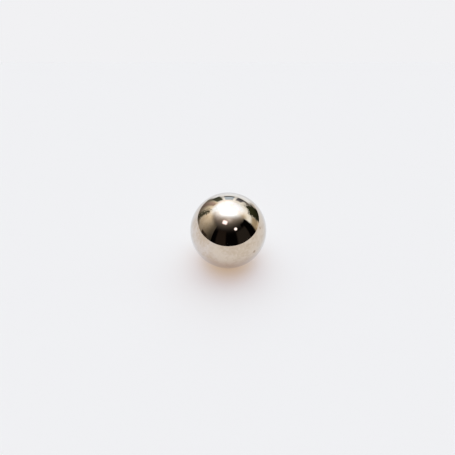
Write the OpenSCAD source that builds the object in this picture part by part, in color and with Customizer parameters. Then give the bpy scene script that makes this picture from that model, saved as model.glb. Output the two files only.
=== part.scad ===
// Steel ball, one solid piece: headed from a slug of bar, ground and lapped
// to a true sphere, then plated bright. Nothing is fitted to it or in it.
// Origin at the ball's centre, +Z up. All sizes in millimetres.

/* [Ball] */
// Diameter of the ball, one inch in the stock sizes
ball_d = 25.4; // [1:0.1:100]

/* [Hidden] */
// Every node of the model
// The node to draw, or all of them
// Facets round the drawn ball, whose surface is a true sphere
$fn = 128;

// The ball, centred on the origin
module ball() {
    color([0.83, 0.79, 0.72])
        sphere(d = ball_d);
}

ball();
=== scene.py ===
"""A bright nickel plated steel ball on a pale sheet, in a plain soft studio."""

import logging
import math
from dataclasses import dataclass, field
from enum import Enum

import bpy
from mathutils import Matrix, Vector

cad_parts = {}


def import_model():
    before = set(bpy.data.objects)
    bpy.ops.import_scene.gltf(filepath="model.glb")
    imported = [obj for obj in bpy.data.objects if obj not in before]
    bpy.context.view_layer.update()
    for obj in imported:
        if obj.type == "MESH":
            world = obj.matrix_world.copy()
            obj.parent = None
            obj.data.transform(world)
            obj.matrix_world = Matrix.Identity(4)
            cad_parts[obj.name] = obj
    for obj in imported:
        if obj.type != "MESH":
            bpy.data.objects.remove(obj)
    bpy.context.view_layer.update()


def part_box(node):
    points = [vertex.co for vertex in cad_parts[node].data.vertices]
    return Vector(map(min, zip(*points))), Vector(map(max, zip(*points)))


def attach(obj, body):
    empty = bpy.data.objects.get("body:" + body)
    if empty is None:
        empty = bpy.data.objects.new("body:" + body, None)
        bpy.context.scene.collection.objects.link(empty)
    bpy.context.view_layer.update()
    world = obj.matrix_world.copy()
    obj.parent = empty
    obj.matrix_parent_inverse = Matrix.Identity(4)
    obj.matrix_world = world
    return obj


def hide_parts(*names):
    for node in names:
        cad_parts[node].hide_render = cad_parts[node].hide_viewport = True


LOG = logging.getLogger("steel_ball")
MM = 0.001
# A reach so long that nothing along it counts.
BOUNDLESS = 1.0e6

# The sockets of a Mix node that mixes colours: the colour under, the colour over, the result.
MIX_UNDER = 6
MIX_OVER = 7
MIX_RESULT = 2


# ---------------------------------------------------------------- small helpers


def linear(hex_colour: str) -> tuple[float, float, float, float]:
    """Turns an sRGB hex colour into the linear colour that a shader takes.

    Args:
        hex_colour: Six hex digits after a hash, such as "#D7C8B5".

    Returns:
        Linear red, green and blue, and an alpha of one.
    """
    parts = [int(hex_colour[i:i + 2], 16) / 255 for i in (1, 3, 5)]
    red, green, blue = (
        part / 12.92 if part <= 0.04045 else ((part + 0.055) / 1.055) ** 2.4 for part in parts
    )
    return red, green, blue, 1.0


def pointing(bearing: float, height: float) -> Vector:
    """Gives the unit vector that points one way.

    Args:
        bearing: Degrees clockwise seen from above, with 0 along +Y and 90 along +X.
        height: Degrees above the horizon.

    Returns:
        The unit vector.
    """
    turn, lift = math.radians(bearing), math.radians(height)
    return Vector((
        math.sin(turn) * math.cos(lift), math.cos(turn) * math.cos(lift), math.sin(lift)
    ))


def add_node(
    tree: bpy.types.NodeTree,
    kind: str,
    settings: dict[str, object] | None = None,
    inputs: dict[str | int, object] | None = None,
) -> bpy.types.Node:
    """Adds one node with its settings, its values and the links into it.

    Args:
        tree: The node tree that gets the node.
        kind: The node's type, such as "ShaderNodeMath".
        settings: Properties of the node, by name.
        inputs: What goes into each input, by name or number: a socket is linked, a value is set.

    Returns:
        The new node.
    """
    node = tree.nodes.new(kind)
    for name, value in (settings or {}).items():
        setattr(node, name, value)
    for key, value in (inputs or {}).items():
        if isinstance(value, bpy.types.NodeSocket):
            tree.links.new(value, node.inputs[key])
        else:
            node.inputs[key].default_value = value
    return node


def deselect_all() -> None:
    """Leaves object mode with nothing selected, as a new primitive needs."""
    if bpy.context.object is not None and bpy.context.object.mode != "OBJECT":
        bpy.ops.object.mode_set(mode="OBJECT")
    bpy.ops.object.select_all(action="DESELECT")


# ---------------------------------------------------------------- the plating


@dataclass(frozen=True)
class Tarnish:
    """One tan spot where the plating has tarnished.

    Attributes:
        bearing: Where the spot lies round the ball, in degrees from +Y.
        height: Where it lies above the ball's middle, in degrees.
        width: How wide it is, in millimetres.
        depth: How strong it is, from 0 to 1.
    """

    bearing: float
    height: float
    width: float
    depth: float


@dataclass(frozen=True)
class BrightNickelSteel:
    """Bright nickel over lapped bearing steel.

    The steel was ground and lapped to a mirror before it was plated, so the nickel shows sharp
    reflections, tinted warm and yellowish as nickel is. The ball was wiped with a clear rust
    preventing oil, and that thin skin pales its rim to neutral grey. Handling has left patches
    that are a touch warmer and hazier than the bare metal, and a few tan spots of tarnish.

    Attributes:
        name: The material's name.
        metal: The bare nickel where it is warmest.
        cool: A cooler tone of the bare nickel, laid towards one side.
        film: The nickel under a film from handling.
        underside_shade: The nickel darkened and browned low on the ball, as painted shade.
        tan: The tarnish.
        edge: The tint of the metal at grazing angles.
        cool_bearing: Bearing of the middle of the cooler side, in degrees.
        cool_height: Height of the middle of the cooler side, in degrees.
        cool_span: Where the cooler tone starts and is full, as lean towards that side plus noise.
        patch_mm: Width of one patch of the film, in millimetres.
        gather_mm: Width of the places where the patches gather, in millimetres.
        film_span: Where the film starts and is full, as the sum of both noises.
        drift_mm: Width of one wave of the slow drift from warm to cool, in millimetres.
        underside_shade_span: Heights between which the painted shade comes in, in ball radii.
        ragged_mm: How far the edges of a spot of tarnish wander, in millimetres.
        tarnish_span: Where a spot starts to fade and where it ends, as shares of its width.
        mirror_roughness: Roughness of the lapped and plated surface.
        film_roughness: Roughness under the film.
        tarnish_roughness: Roughness of a spot of tarnish.
        oil_roughness: Roughness of the oil's own surface.
        tarnishes: The spots.
    """

    name: str = "bright_nickel_plated_steel"
    metal: str = "#DACAB6"
    cool: str = "#DCCFC4"
    film: str = "#CDBAA4"
    underside_shade: str = "#BC9C74"
    tan: str = "#A58A6C"
    edge: str = "#EEF6FF"
    cool_bearing: float = -128.0
    cool_height: float = 4.0
    cool_span: tuple[float, float] = (1.0, 1.5)
    patch_mm: float = 1.1
    gather_mm: float = 5.0
    film_span: tuple[float, float] = (0.80, 1.28)
    drift_mm: float = 7.0
    underside_shade_span: tuple[float, float] = (-0.02, -0.70)
    ragged_mm: float = 0.5
    tarnish_span: tuple[float, float] = (0.15, 0.7)
    mirror_roughness: float = 0.02
    film_roughness: float = 0.05
    tarnish_roughness: float = 0.22
    oil_roughness: float = 0.02
    tarnishes: tuple[Tarnish, ...] = (
        Tarnish(bearing=138.4, height=-2.0, width=1.2, depth=0.90),
        Tarnish(bearing=114.8, height=26.9, width=0.8, depth=0.80),
        Tarnish(bearing=149.7, height=16.2, width=1.5, depth=0.22),
        Tarnish(bearing=137.4, height=21.6, width=0.8, depth=0.28),
    )

    def make(self, radius: float) -> bpy.types.Material:
        """Builds the finish.

        Args:
            radius: The ball's radius in metres, which places the tarnish.

        Returns:
            The material.
        """
        material = bpy.data.materials.new(self.name)
        material.use_nodes = True
        tree = material.node_tree
        tree.nodes.clear()
        place = add_node(tree, "ShaderNodeTexCoord").outputs["Object"]
        film = self._film(tree, place)
        tarnish = self._tarnish(tree, place, radius)
        colour: bpy.types.NodeSocket | tuple[float, ...] = linear(self.metal)
        for share, tint in (
            (self._drift(tree, place, radius), self.cool),
            (film, self.film),
            # painted shade: the nickel darker and browner towards the bottom of the ball
            (self._underside_shade(tree, place, radius), self.underside_shade),
            (tarnish, self.tan),
        ):
            colour = add_node(tree, "ShaderNodeMix", {"data_type": "RGBA"}, {
                "Factor": share, MIX_UNDER: colour, MIX_OVER: linear(tint),
            }).outputs[MIX_RESULT]
        haze = add_node(tree, "ShaderNodeMapRange", {}, {
            "Value": film, "To Min": self.mirror_roughness, "To Max": self.film_roughness,
        }).outputs["Result"]
        roughness = add_node(tree, "ShaderNodeMapRange", {}, {
            "Value": tarnish, "To Min": haze, "To Max": self.tarnish_roughness,
        }).outputs["Result"]
        shader = add_node(tree, "ShaderNodeBsdfPrincipled", {}, {
            "Base Color": colour, "Metallic": 1.0, "Roughness": roughness,
            "Specular Tint": linear(self.edge), "Coat Weight": 1.0,
            "Coat Roughness": self.oil_roughness,
        })
        add_node(tree, "ShaderNodeOutputMaterial", {}, {"Surface": shader.outputs["BSDF"]})
        return material

    def _film(self, tree: bpy.types.NodeTree, place: bpy.types.NodeSocket) -> bpy.types.NodeSocket:
        """Gives how thick the film lies: small patches of grease that gather in some places.

        Args:
            tree: The material's tree.
            place: The point on the ball.

        Returns:
            A value from 0, bare, to 1, filmed.
        """
        patches = add_node(tree, "ShaderNodeTexNoise", {}, {
            "Vector": place, "Scale": 1 / (self.patch_mm * MM), "Detail": 4.0, "Roughness": 0.65,
        }).outputs["Fac"]
        gathered = add_node(tree, "ShaderNodeTexNoise", {}, {
            "Vector": place, "Scale": 1 / (self.gather_mm * MM), "Detail": 1.0,
        }).outputs["Fac"]
        both = add_node(tree, "ShaderNodeMath", {"operation": "ADD"}, {0: patches, 1: gathered})
        return add_node(tree, "ShaderNodeMapRange", {"interpolation_type": "SMOOTHSTEP"}, {
            "Value": both.outputs["Value"], "From Min": self.film_span[0],
            "From Max": self.film_span[1],
        }).outputs["Result"]

    def _drift(
        self, tree: bpy.types.NodeTree, place: bpy.types.NodeSocket, radius: float
    ) -> bpy.types.NodeSocket:
        """Gives the slow drift of the nickel from its warmer tone to its cooler one on one side.

        Args:
            tree: The material's tree.
            place: The point on the ball.
            radius: The ball's radius in metres.

        Returns:
            A value from 0, warm, to 1, cool.
        """
        side = pointing(self.cool_bearing, self.cool_height) / radius
        towards = add_node(tree, "ShaderNodeVectorMath", {"operation": "DOT_PRODUCT"}, {
            0: place, 1: side,
        }).outputs["Value"]
        drift = add_node(tree, "ShaderNodeTexNoise", {}, {
            "Vector": place, "Scale": 1 / (self.drift_mm * MM), "Detail": 2.0,
        }).outputs["Fac"]
        both = add_node(tree, "ShaderNodeMath", {"operation": "ADD"}, {0: towards, 1: drift})
        return add_node(tree, "ShaderNodeMapRange", {"interpolation_type": "SMOOTHSTEP"}, {
            "Value": both.outputs["Value"], "From Min": self.cool_span[0],
            "From Max": self.cool_span[1],
        }).outputs["Result"]

    def _underside_shade(
        self, tree: bpy.types.NodeTree, place: bpy.types.NodeSocket, radius: float
    ) -> bpy.types.NodeSocket:
        """Gives the painted shade low on the ball: the nickel darker and browner towards the
        bottom.

        Args:
            tree: The material's tree.
            place: The point on the ball.
            radius: The ball's radius in metres.

        Returns:
            A value from 0, none, to 1 at the lowest part.
        """
        level = add_node(tree, "ShaderNodeSeparateXYZ", {}, {"Vector": place}).outputs["Z"]
        return add_node(tree, "ShaderNodeMapRange", {"interpolation_type": "SMOOTHSTEP"}, {
            "Value": level, "From Min": self.underside_shade_span[0] * radius,
            "From Max": self.underside_shade_span[1] * radius,
        }).outputs["Result"]

    def _tarnish(
        self, tree: bpy.types.NodeTree, place: bpy.types.NodeSocket, radius: float
    ) -> bpy.types.NodeSocket:
        """Gives the tan spots, each with a ragged edge.

        Args:
            tree: The material's tree.
            place: The point on the ball.
            radius: The ball's radius in metres.

        Returns:
            A value from 0, clean, to each spot's own depth.
        """
        reach = self.ragged_mm * MM
        wander = add_node(tree, "ShaderNodeTexNoise", {}, {
            "Vector": place, "Scale": 1 / reach, "Detail": 2.0,
        }).outputs["Color"]
        ragged = add_node(tree, "ShaderNodeVectorMath", {"operation": "MULTIPLY_ADD"}, {
            0: wander, 1: (reach,) * 3, 2: place,
        }).outputs["Vector"]
        # The noise lies about a half, so each centre moves by half the reach with it.
        carried = Vector((reach / 2,) * 3)
        total: bpy.types.NodeSocket | float = 0.0
        for spot in self.tarnishes:
            centre = pointing(spot.bearing, spot.height) * radius + carried
            away = add_node(tree, "ShaderNodeVectorMath", {"operation": "DISTANCE"}, {
                0: ragged, 1: centre,
            }).outputs["Value"]
            inner, outer = (share * spot.width * MM for share in self.tarnish_span)
            depth = add_node(tree, "ShaderNodeMapRange", {"interpolation_type": "SMOOTHSTEP"}, {
                "Value": away, "From Min": inner, "From Max": outer, "To Min": spot.depth,
                "To Max": 0.0,
            }).outputs["Result"]
            total = add_node(tree, "ShaderNodeMath", {"operation": "MAXIMUM"}, {
                0: total, 1: depth,
            }).outputs["Value"]
        return total


# ---------------------------------------------------------------- the ball


@dataclass
class PlatedBall:
    """The ball: one solid steel sphere, with a mesh that stands for the CAD node of the same name.

    Attributes:
        node: The CAD node that the piece stands for.
        body: The CAD body that it rides on.
        slot: The record's material slot for its finish; not used.
        finish: The plating.
        blank_cuts: Cuts along each edge of the cubic blank.
        passes: Rounds of refinement of the blank's faces, each of which halves them.
    """

    node: str = "ball"
    body: str = "root"
    slot: str = "bright_nickel_steel"
    finish: BrightNickelSteel = field(default_factory=BrightNickelSteel)
    blank_cuts: int = 5
    passes: int = 4

    def __post_init__(self) -> None:
        """Takes the ball's place and size from the CAD node."""
        low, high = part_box(self.node)
        self.centre = (low + high) / 2
        self.radius = (high.z - low.z) / 2

    def build(self) -> bpy.types.Object:
        """Heads, grinds, plates and places the ball.

        Returns:
            The finished piece.
        """
        piece = self._blank()
        self._grind(piece)
        piece.data.materials.clear()
        piece.data.materials.append(self.finish.make(self.radius))
        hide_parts(self.node)
        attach(piece, self.body)
        LOG.info(
            "%s: %.1f mm across, %d faces", piece.name, 2 * self.radius / MM,
            len(piece.data.polygons),
        )
        return piece

    def _blank(self) -> bpy.types.Object:
        """Makes the rough ball from a cube, whose grid has no poles.

        Returns:
            The rough ball.
        """
        deselect_all()
        bpy.ops.mesh.primitive_cube_add(size=2 * self.radius / math.sqrt(3), location=self.centre)
        piece = bpy.context.object
        piece.name = piece.data.name = "plated_ball"
        bpy.ops.object.mode_set(mode="EDIT")
        bpy.ops.mesh.select_all(action="SELECT")
        bpy.ops.mesh.subdivide(number_cuts=self.blank_cuts)
        bpy.ops.transform.tosphere(value=1.0)
        bpy.ops.mesh.normals_make_consistent(inside=False)
        bpy.ops.object.mode_set(mode="OBJECT")
        return piece

    def _grind(self, piece: bpy.types.Object) -> None:
        """Refines the rough ball and brings every point of it to the true radius.

        Args:
            piece: The rough ball.
        """
        refine = piece.modifiers.new("refine", "SUBSURF")
        refine.levels = refine.render_levels = self.passes
        lap = piece.modifiers.new("lap", "CAST")
        lap.cast_type = "SPHERE"
        lap.factor = 1.0
        lap.use_radius_as_size = False
        lap.size = self.radius
        for modifier in (refine, lap):
            bpy.ops.object.modifier_apply(modifier=modifier.name)
        bpy.ops.object.transform_apply(location=True, rotation=True, scale=True)
        bpy.ops.object.shade_smooth()


# ---------------------------------------------------------------- the studio


@dataclass(frozen=True)
class MattPaper:
    """Uncoated matt paper on a light table.

    It is pressed but not polished, so it gives back light evenly and shows no highlight. The light
    that comes through it keeps the ball's shadow soft, and close under the ball a dimmer, warmer
    shadow is painted into that light.
    on the warm tone of the plating.

    Attributes:
        name: The material's name.
        paper: What the sheet gives back of the light from above.
        glow: The light that comes through it from below.
        under: The painted shadow close under the ball, where the glow is warmer and dimmer.
        reach: Where that painted shadow starts to fade and where it ends, in ball radii.
        shadow_drawn: How far the painted shadow is drawn towards the camera, away from the bright
            ceiling, in ball radii.
        contact_shadow: Share of the light that is left where the ball touches, as a painted contact
            shadow.
        contact_shadow_reach: How far that painted contact shadow reaches round there, in ball
            radii.
    """

    name: str = "matt_paper"
    paper: str = "#A7B8B3"
    glow: str = "#C4B6B7"
    under: str = "#B59C85"
    reach: tuple[float, float] = (0.18, 0.98)
    shadow_drawn: float = 0.12
    contact_shadow: float = 0.18
    contact_shadow_reach: float = 0.38

    def make(self, ball: PlatedBall) -> bpy.types.Material:
        """Builds the finish.

        Args:
            ball: The ball that stands on the sheet.

        Returns:
            The material.
        """
        material = bpy.data.materials.new(self.name)
        material.use_nodes = True
        tree = material.node_tree
        tree.nodes.clear()
        paper = add_node(tree, "ShaderNodeBsdfDiffuse", {}, {"Color": linear(self.paper)})
        place = add_node(tree, "ShaderNodeTexCoord").outputs["Object"]
        away = add_node(tree, "ShaderNodeVectorMath", {"operation": "DISTANCE"}, {
            0: place, 1: ball.centre - Vector((0, self.shadow_drawn, 1)) * ball.radius,
        }).outputs["Value"]
        # Painted shadow: close under the ball the sheet's glow turns dimmer and warmer.
        clear = add_node(tree, "ShaderNodeMapRange", {"interpolation_type": "SMOOTHSTEP"}, {
            "Value": away, "From Min": self.reach[0] * ball.radius,
            "From Max": self.reach[1] * ball.radius,
        }).outputs["Result"]
        light = add_node(tree, "ShaderNodeMix", {"data_type": "RGBA"}, {
            "Factor": clear, MIX_UNDER: linear(self.under), MIX_OVER: linear(self.glow),
        }).outputs[MIX_RESULT]
        # Painted contact shadow: the glow is dimmed round where the ball touches.
        left = add_node(tree, "ShaderNodeMapRange", {"interpolation_type": "SMOOTHSTEP"}, {
            "Value": away, "From Max": self.contact_shadow_reach * ball.radius, "To Min": self.contact_shadow,
        }).outputs["Result"]
        glow = add_node(tree, "ShaderNodeEmission", {}, {"Color": light, "Strength": left})
        both = add_node(tree, "ShaderNodeAddShader", {}, {
            0: paper.outputs["BSDF"], 1: glow.outputs["Emission"],
        })
        add_node(tree, "ShaderNodeOutputMaterial", {}, {"Surface": both.outputs["Shader"]})
        return material


@dataclass
class PaleSheet:
    """The pale sheet that the ball stands on, which isn't part of the object.

    Attributes:
        finish: The paper.
        front: How far it runs towards the camera, in ball radii.
        back: How far it runs away from the camera, in ball radii.
        side: How far it runs to each side, in ball radii.
    """

    finish: MattPaper = field(default_factory=MattPaper)
    front: float = 19.0
    back: float = 9.5
    side: float = 35.0

    def build(self, ball: PlatedBall) -> bpy.types.Object:
        """Lays the sheet under the ball.

        Args:
            ball: The ball that stands on it.

        Returns:
            The sheet.
        """
        deselect_all()
        length, width = self.front + self.back, 2 * self.side
        middle = ball.centre + Vector((0, (self.back - self.front) / 2, -1)) * ball.radius
        bpy.ops.mesh.primitive_plane_add(size=1, location=middle)
        sheet = bpy.context.object
        sheet.name = sheet.data.name = "pale_sheet"
        sheet.scale = (width * ball.radius, length * ball.radius, 1)
        bpy.ops.object.transform_apply(location=True, rotation=True, scale=True)
        sheet.data.materials.append(self.finish.make(ball))
        LOG.info("%s: laid", sheet.name)
        return sheet


class Lay(Enum):
    """How a card or lamp lies over what is behind it, as a blend type."""

    COVER = "MIX"
    WASH = "LIGHTEN"
    ADD = "ADD"


@dataclass(frozen=True)
class Card:
    """One soft edged panel round the studio, seen from the ball.

    Attributes:
        name: What the card does, which labels its node.
        tint: Its colour.
        level: Its brightness, where the lit sheet is 0.88.
        sides: Bearings of its left and right edge, in degrees.
        heights: Heights of its lower and upper edge, in degrees.
        side_fades: How soft the left and right edges are, in degrees.
        height_fades: How soft the lower and upper edges are, in degrees.
        across: Share of the level at the left and right edge.
        upwards: Share of the level at the lower and upper edge.
        ragged: How far its edges wander, in degrees.
        lay: How it lies over what is behind it.
    """

    name: str
    tint: str
    level: float
    sides: tuple[float, float]
    heights: tuple[float, float]
    side_fades: tuple[float, float] = (3.0, 3.0)
    height_fades: tuple[float, float] = (2.0, 3.0)
    across: tuple[float, float] = (1.0, 1.0)
    upwards: tuple[float, float] = (1.0, 1.0)
    ragged: float = 0.0
    lay: Lay = Lay.COVER


class Face(Enum):
    """The shape of a lamp's face."""

    ROUND = "round"
    SQUARE = "square"


@dataclass(frozen=True)
class SoftLamp:
    """A soft lamp behind the camera.

    Attributes:
        bearing: Where it hangs, in degrees from +Y.
        height: How high it hangs, in degrees.
        across: Its reach to each side, in degrees.
        upwards: Its reach up and down, in degrees.
        level: Its brightness, where the lit sheet is 0.88.
        tint: Its colour.
        face: The shape of its face, whose corners are rounded if it is square.
        soft: Share of its reach over which its edge fades.
    """

    bearing: float
    height: float
    across: float
    upwards: float
    level: float
    tint: str = "#FFFFFF"
    face: Face = Face.ROUND
    soft: float = 0.45


@dataclass(frozen=True)
class CeilingGlow:
    """A soft pool of light on the ceiling, with places and widths in ceiling heights.

    Attributes:
        level: Brightness of its middle, where the lit sheet is 0.88.
        tint: Its colour.
        right: How far its middle lies to the right.
        away: How far its middle lies away from the camera.
        width: Its reach to each side.
        depth: Its reach towards and away from the camera.
    """

    level: float
    tint: str
    right: float
    away: float
    width: float
    depth: float


CEILING = (
    CeilingGlow(level=1.04, tint="#FFEDC8", right=0.80, away=0.53, width=1.25, depth=0.45),
    CeilingGlow(level=3.25, tint="#BADBFF", right=0.04, away=0.20, width=0.47, depth=0.24),
    CeilingGlow(level=2.05, tint="#FFF4EF", right=-0.11, away=0.93, width=0.65, depth=0.91),
    CeilingGlow(level=0.36, tint="#F3F4FF", right=0.03, away=-0.27, width=0.18, depth=0.14),
)

STUDIO_CARDS = (
    Card("left wall", "#FFF4DF", 1.00, (-129, -60), (-8, 47), (2, 10), (2, 16),
         across=(0.09, 1.0), upwards=(0.41, 1.11), lay=Lay.WASH),
    Card("far wall, left", "#FFF6E1", 1.24, (-63, 2), (-8, 46), (3, 40), (2, 25),
         upwards=(0.12, 0.93), lay=Lay.WASH),
    Card("far wall, right", "#F7FDFF", 1.57, (-1, 105), (-8, 40), (6, 24), (2, 26),
         upwards=(0.05, 0.88), lay=Lay.WASH),
    Card("high wall", "#D4E7FF", 2.22, (-59, 65), (39, 63), (44, 34), (20, 8), lay=Lay.WASH),
    Card("skirting, left", "#827A70", 1.0, (-74, -20), (-14, 4), (10, 6), (2, 6), ragged=1.5),
    Card("low flag, left", "#352D25", 1.0, (-114, -93), (-14, 6.5), (6, 4), (2, 5),
         upwards=(1.9, 1.0), ragged=1.5),
    Card("dark flag, far left", "#46463A", 1.0, (-63, -50), (-14, 35), (6, 6), (2, 8),
         upwards=(0.9, 1.5), ragged=13.0),
    Card("warm flag, far left", "#BCA9A1", 1.0, (-38, -27), (-14, 35), (5, 5), (2, 6),
         across=(0.7, 1.1), upwards=(0.35, 1.2), ragged=3.0),
    Card("dark flag, right", "#24271A", 1.0, (36, 68), (-14, 29), (6, 7), (2, 8),
         upwards=(0.6, 2.2), ragged=12.0),
    Card("low panel, right", "#B0A58F", 1.0, (69, 97), (-14, 22), (9, 3), (2, 10),
         upwards=(0.9, 1.2), ragged=3.0),
    Card("low edge, right", "#DDD2BE", 1.0, (67, 83), (-14, 2.5), (6, 6), (2, 3)),
    Card("black flag, right", "#050404", 1.0, (90, 124), (-8, 48), (6, 6), (2, 8), ragged=1.5),
    Card("drape, left", "#FFE2CF", 0.017, (-172, -143), (-8, 50), (6, 6), (2, 20), lay=Lay.WASH),
    Card("drape, right", "#FFF0E4", 0.022, (113, 152), (-8, 36), (5, 8), (2, 10), lay=Lay.WASH),
    Card("sill", "#EBF1F8", 1.27, (-18, 31), (-14, 9), (8, 10), (2, 4)),
    Card("sill end, right", "#CBC6BD", 1.0, (28, 38), (-14, 0.5), (6, 4), (2, 6)),
    Card("window gaps", "#F4FAFF", 1.24, (-23, 29), (8, 34), (4, 4), (3, 4),
         upwards=(0.66, 1.17)),
    Card("window foot, right", "#7F7B76", 1.0, (26, 38), (8.5, 17), (3, 5), (5, 6)),
    Card("window, left", "#464A3F", 1.0, (-23.5, -10.5), (3, 30), (3, 3), (6, 9),
         upwards=(0.85, 1.6), ragged=2.0),
    Card("window, middle", "#C6DAF0", 1.03, (-6, 9.5), (12, 31), (2, 2), (2, 6)),
    Card("window, right", "#42444A", 1.0, (14.5, 27), (10.5, 28.5), (3, 3), (3, 9),
         upwards=(1.0, 3.8), ragged=1.5),
    Card("window bar", "#15171A", 1.0, (-6, 9.5), (10.5, 15.5), (2, 2), (2, 2.5)),
)

LAMPS = (
    SoftLamp(bearing=-155.5, height=66.2, across=6.4, upwards=5.2, level=2.6, tint="#F6EDFF",
             face=Face.SQUARE),
    SoftLamp(bearing=149.0, height=44.0, across=4.1, upwards=3.7, level=2.5, tint="#F6F2FF"),
)


@dataclass
class SoftStudio:
    """The light: a bright ceiling ahead, pale walls, and a dark side behind the camera.

    Attributes:
        ceiling: The pools of light on the ceiling.
        cards: The panels, from the furthest to the nearest.
        lamps: The lamps.
        shade: What is left dark.
        backdrop: What the camera sees past the sheet, the same tone as the lit sheet.
        leaves: How many ragged notches there are in an edge, for each radian.
        skyline: The least upward lean of a line of sight that is still taken to the ceiling.
    """

    ceiling: tuple[CeilingGlow, ...] = CEILING
    cards: tuple[Card, ...] = STUDIO_CARDS
    lamps: tuple[SoftLamp, ...] = LAMPS
    shade: str = "#060505"
    backdrop: str = "#F1F1F3"
    leaves: float = 18.0
    skyline: float = 0.02

    def build(self) -> None:
        """Lights the scene."""
        world = bpy.data.worlds.new("soft_studio")
        bpy.context.scene.world = world
        world.use_nodes = True
        tree = world.node_tree
        tree.nodes.clear()
        ray = add_node(tree, "ShaderNodeTexCoord").outputs["Generated"]
        split = add_node(tree, "ShaderNodeSeparateXYZ", {}, {"Vector": ray})
        x, y, z = (split.outputs[axis] for axis in "XYZ")
        bearing = add_node(tree, "ShaderNodeMath", {"operation": "ARCTAN2"}, {0: x, 1: y})
        height = add_node(tree, "ShaderNodeMath", {"operation": "ARCSINE"}, {0: z})
        over = add_node(tree, "ShaderNodeMath", {"operation": "MAXIMUM"}, {0: z, 1: self.skyline})
        plan = add_node(tree, "ShaderNodeVectorMath", {"operation": "DIVIDE"}, {
            0: ray, 1: over.outputs["Value"],
        })
        wander = add_node(tree, "ShaderNodeTexNoise", {}, {
            "Vector": ray, "Scale": self.leaves, "Detail": 1.5, "Roughness": 0.6,
        }).outputs["Color"]
        light: bpy.types.NodeSocket | tuple[float, ...] = linear(self.shade)
        for glow in self.ceiling:
            light = self._glow(tree, glow, light, plan.outputs["Vector"])
        for card in self.cards:
            light = self._card(tree, card, light, (bearing.outputs[0], height.outputs[0]), wander)
        for lamp in self.lamps:
            light = self._lamp(tree, lamp, light, ray)
        # The camera sees a plain backdrop, and the polished ball mirrors the studio.
        seen = add_node(tree, "ShaderNodeLightPath").outputs["Is Camera Ray"]
        studio = add_node(tree, "ShaderNodeBackground", {}, {"Color": light})
        plain = add_node(tree, "ShaderNodeBackground", {}, {"Color": linear(self.backdrop)})
        both = add_node(tree, "ShaderNodeMixShader", {}, {
            0: seen, 1: studio.outputs[0], 2: plain.outputs[0],
        })
        add_node(tree, "ShaderNodeOutputWorld", {}, {"Surface": both.outputs[0]})
        LOG.info("studio: %d glows, %d cards, %d lamps",
                 len(self.ceiling), len(self.cards), len(self.lamps))

    def _card(
        self,
        tree: bpy.types.NodeTree,
        card: Card,
        behind: bpy.types.NodeSocket | tuple[float, ...],
        angles: tuple[bpy.types.NodeSocket, bpy.types.NodeSocket],
        wander: bpy.types.NodeSocket,
    ) -> bpy.types.NodeSocket:
        """Lays one card over what is behind it.

        Args:
            tree: The world's tree.
            card: The card.
            behind: The light from behind it.
            angles: Bearing and height of the direction looked at, in radians.
            wander: A noise colour, whose parts push ragged edges about.

        Returns:
            The light with the card in place.
        """
        mask: bpy.types.NodeSocket | float = 1.0
        strength: bpy.types.NodeSocket | float = card.level
        shift = math.radians(2 * card.ragged)
        pushed = add_node(tree, "ShaderNodeSeparateXYZ", {}, {"Vector": wander})
        for axis, (angle, ends, fades, shares) in enumerate((
            (angles[0], card.sides, card.side_fades, card.across),
            (angles[1], card.heights, card.height_fades, card.upwards),
        )):
            if card.ragged:
                angle = add_node(tree, "ShaderNodeMath", {"operation": "MULTIPLY_ADD"}, {
                    0: pushed.outputs[axis], 1: shift, 2: angle,
                }).outputs["Value"]
                angle = add_node(tree, "ShaderNodeMath", {"operation": "SUBTRACT"}, {
                    0: angle, 1: shift / 2,
                }).outputs["Value"]
            for end, fade, cover in zip(ends, fades, ((0.0, 1.0), (1.0, 0.0))):
                edge = add_node(tree, "ShaderNodeMapRange", {"interpolation_type": "SMOOTHSTEP"}, {
                    "Value": angle, "From Min": math.radians(end - fade / 2),
                    "From Max": math.radians(end + fade / 2), "To Min": cover[0],
                    "To Max": cover[1],
                }).outputs["Result"]
                mask = add_node(tree, "ShaderNodeMath", {"operation": "MULTIPLY"}, {
                    0: mask, 1: edge,
                }).outputs["Value"]
            if shares[0] != shares[1]:
                ramp = add_node(tree, "ShaderNodeMapRange", {"interpolation_type": "SMOOTHSTEP"}, {
                    "Value": angle, "From Min": math.radians(ends[0]),
                    "From Max": math.radians(ends[1]), "To Min": shares[0], "To Max": shares[1],
                }).outputs["Result"]
                strength = add_node(tree, "ShaderNodeMath", {"operation": "MULTIPLY"}, {
                    0: strength, 1: ramp,
                }).outputs["Value"]
        tint = linear(card.tint)
        panel = add_node(tree, "ShaderNodeVectorMath", {"operation": "SCALE"}, {
            0: tint[:3], "Scale": strength,
        }).outputs["Vector"]
        lit = self._over(tree, card.lay, mask, behind, panel)
        lit.node.label = card.name
        return lit

    def _glow(
        self,
        tree: bpy.types.NodeTree,
        glow: CeilingGlow,
        behind: bpy.types.NodeSocket | tuple[float, ...],
        plan: bpy.types.NodeSocket,
    ) -> bpy.types.NodeSocket:
        """Adds one pool of light on the ceiling.

        Args:
            tree: The world's tree.
            glow: The pool of light.
            behind: The light without it.
            plan: Where the direction looked at meets a ceiling one unit up.

        Returns:
            The light with the pool in place.
        """
        off = add_node(tree, "ShaderNodeVectorMath", {"operation": "SUBTRACT"}, {
            0: plan, 1: (glow.right, glow.away, 1.0),
        }).outputs["Vector"]
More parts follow.
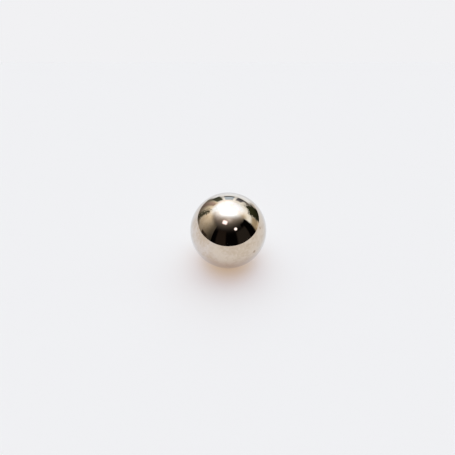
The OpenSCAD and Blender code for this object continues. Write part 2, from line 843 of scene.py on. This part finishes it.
        # Only the place on the ceiling counts, not how far up the direction looked at goes.
        share = add_node(tree, "ShaderNodeVectorMath", {"operation": "DIVIDE"}, {
            0: off, 1: (glow.width, glow.depth, BOUNDLESS),
        }).outputs["Vector"]
        square = add_node(tree, "ShaderNodeVectorMath", {"operation": "DOT_PRODUCT"}, {
            0: share, 1: share,
        }).outputs["Value"]
        fall = add_node(tree, "ShaderNodeMath", {"operation": "POWER"}, {
            0: math.exp(-1), 1: square,
        }).outputs["Value"]
        pool = add_node(tree, "ShaderNodeVectorMath", {"operation": "SCALE"}, {
            0: tuple(glow.level * part for part in linear(glow.tint)[:3]), "Scale": fall,
        }).outputs["Vector"]
        return self._over(tree, Lay.ADD, 1.0, behind, pool)

    @staticmethod
    def _over(
        tree: bpy.types.NodeTree,
        lay: Lay,
        share: bpy.types.NodeSocket | float,
        behind: bpy.types.NodeSocket | tuple[float, ...],
        front: bpy.types.NodeSocket | tuple[float, ...],
    ) -> bpy.types.NodeSocket:
        """Lays one light over another.

        Args:
            tree: The world's tree.
            lay: How it lies.
            share: How much of it shows.
            behind: The light behind.
            front: The light in front.

        Returns:
            The two together.
        """
        return add_node(tree, "ShaderNodeMix", {"data_type": "RGBA", "blend_type": lay.value}, {
            "Factor": share, MIX_UNDER: behind, MIX_OVER: front,
        }).outputs[MIX_RESULT]

    def _lamp(
        self,
        tree: bpy.types.NodeTree,
        lamp: SoftLamp,
        behind: bpy.types.NodeSocket,
        ray: bpy.types.NodeSocket,
    ) -> bpy.types.NodeSocket:
        """Hangs one lamp.

        Args:
            tree: The world's tree.
            lamp: The lamp.
            behind: The light without it.
            ray: The direction looked at.

        Returns:
            The light with the lamp in place.
        """
        middle = pointing(lamp.bearing, lamp.height)
        turn = (math.radians(90 + lamp.height), 0.0, -math.radians(lamp.bearing))
        reach = (math.radians(lamp.across), math.radians(lamp.upwards), 1.0)
        spot = add_node(tree, "ShaderNodeMapping", {"vector_type": "TEXTURE"}, {
            "Vector": ray, "Location": middle, "Rotation": turn, "Scale": reach,
        }).outputs["Vector"]
        if lamp.face is Face.SQUARE:
            spot = add_node(tree, "ShaderNodeVectorMath", {"operation": "MULTIPLY"}, {
                0: spot, 1: spot,
            }).outputs["Vector"]
        off = add_node(tree, "ShaderNodeVectorMath", {"operation": "LENGTH"}, {
            0: spot,
        }).outputs["Value"]
        if lamp.face is Face.SQUARE:
            off = add_node(tree, "ShaderNodeMath", {"operation": "SQRT"}, {0: off}).outputs["Value"]
        face = add_node(tree, "ShaderNodeMapRange", {"interpolation_type": "SMOOTHSTEP"}, {
            "Value": off, "From Min": 1 - lamp.soft, "From Max": 1 + lamp.soft, "To Min": 1.0,
            "To Max": 0.0,
        }).outputs["Result"]
        tint = linear(lamp.tint)
        colour = tuple(lamp.level * part for part in tint[:3]) + (1.0,)
        return self._over(tree, Lay.COVER, face, behind, colour)


@dataclass
class StudioCamera:
    """The camera, which looks down at the ball from the front.

    Attributes:
        height: Degrees above the horizon.
        distance: From the ball's centre, in ball radii.
        lens: Focal length, in millimetres.
        above: How far it aims above the ball's centre, in ball radii.
        left: How far it aims left of the centre, in ball radii.
        sensor: Width of the sensor, in millimetres.
        horizon: The furthest that it sees, in ball radii.
    """

    height: float = 44.0
    distance: float = 22.0
    lens: float = 66.34
    above: float = 0.075
    left: float = 0.021
    sensor: float = 36.0
    horizon: float = 200.0

    def build(self, ball: PlatedBall) -> bpy.types.Object:
        """Sets the camera up and makes it the scene's own.

        Args:
            ball: The ball that it looks at.

        Returns:
            The camera.
        """
        back = pointing(180.0, self.height)
        turn = (-back).to_track_quat("-Z", "Y")
        up, right = turn @ Vector((0, 1, 0)), turn @ Vector((1, 0, 0))
        aim = ball.centre + (up * self.above - right * self.left) * ball.radius
        data = bpy.data.cameras.new("studio_camera")
        data.lens = self.lens
        data.sensor_width = self.sensor
        data.clip_start = ball.radius
        data.clip_end = self.horizon * ball.radius
        camera = bpy.data.objects.new("studio_camera", data)
        camera.location = aim + back * self.distance * ball.radius
        camera.rotation_mode = "QUATERNION"
        camera.rotation_quaternion = turn
        bpy.context.scene.collection.objects.link(camera)
        bpy.context.scene.camera = camera
        LOG.info("camera: %.0f degrees up, %.0f mm away", self.height,
                 self.distance * ball.radius / MM)
        return camera


def main() -> None:
    """Builds the ball and the studio round it."""
    logging.basicConfig(level=logging.INFO, format="%(name)s: %(message)s")
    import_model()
    bpy.context.scene.view_settings.view_transform = "Standard"
    ball = PlatedBall()
    ball.build()
    PaleSheet().build(ball)
    SoftStudio().build()
    StudioCamera().build(ball)


if __name__ == "__main__":
    main()
